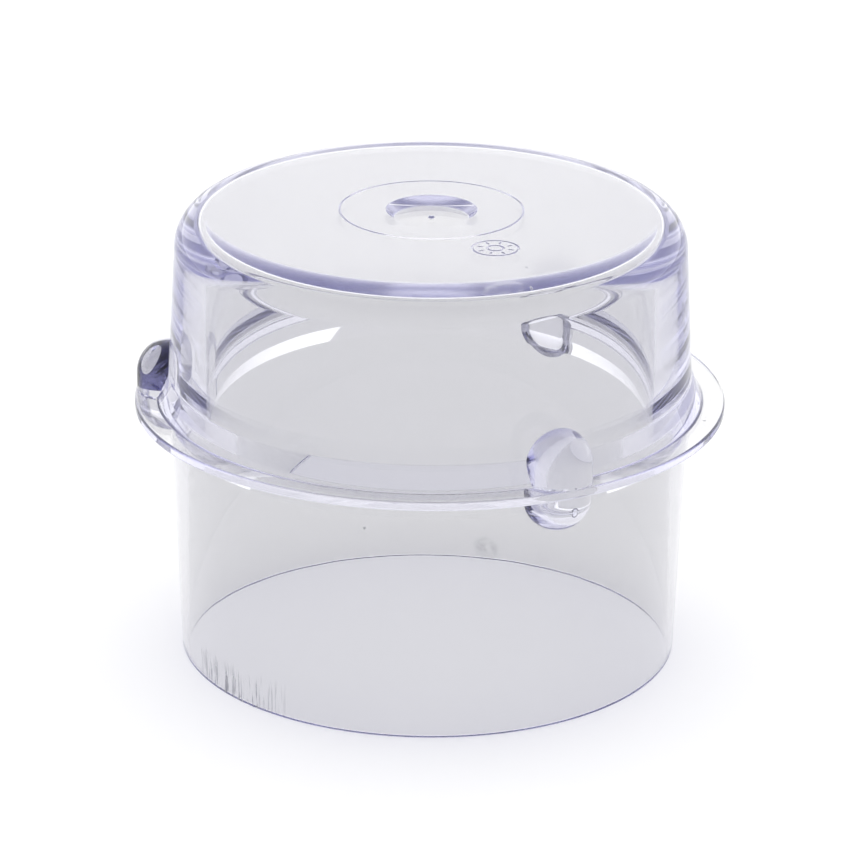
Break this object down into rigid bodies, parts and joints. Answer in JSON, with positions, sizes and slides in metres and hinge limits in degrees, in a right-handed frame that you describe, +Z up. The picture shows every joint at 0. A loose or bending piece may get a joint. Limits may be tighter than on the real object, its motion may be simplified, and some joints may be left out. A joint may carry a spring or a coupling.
{
  "type": "lid measuring cup",
  "caption": "Clear measuring cup that stands on its open rim, with a flat closed end, a half-full ledge inside, a mid-height stop collar and ball-ended lugs round it.",
  "frame": {"origin": "centre of the open rim's plane, on the cup's axis", "axes": "+Z up the cup's axis to the closed end; -Y through the front lug"},
  "size_m": [0.065, 0.065, 0.0504],
  "materials": {
    "clear_plastic": "polished clear plastic with a faint lavender tint in its thick places"
  },
  "bodies": {
    "root": {"closed_end": "clear_plastic", "upper_wall": "clear_plastic", "collar": "clear_plastic", "lower_wall": "clear_plastic", "lug_front": "clear_plastic", "lug_right": "clear_plastic", "lug_left": "clear_plastic"}
  },
  "joints": []
}
